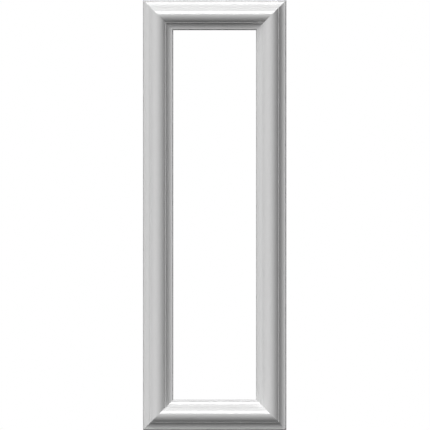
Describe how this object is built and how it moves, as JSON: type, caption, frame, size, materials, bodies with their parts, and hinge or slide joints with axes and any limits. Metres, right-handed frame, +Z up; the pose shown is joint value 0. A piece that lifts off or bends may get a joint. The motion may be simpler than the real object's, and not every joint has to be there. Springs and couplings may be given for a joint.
{
  "type": "wainscot panel moulding",
  "caption": "Tall narrow rectangular panel moulding frame with mitred corners, a domed and coved section, a flat back and an open field, fixed to a wall as wainscoting.",
  "frame": {"origin": "on the flat back, in the middle of the bottom rail's length and width", "axes": "+Z up along the stiles, +X to the right as the front is seen, +Y into the wall, so the moulded front faces -Y"},
  "size_m": [0.2032, 0.0159, 0.6096],
  "materials": {
    "white_primer": "satin white factory primer on cast polyurethane"
  },
  "bodies": {
    "root": {"panel_frame": "white_primer"}
  },
  "joints": []
}
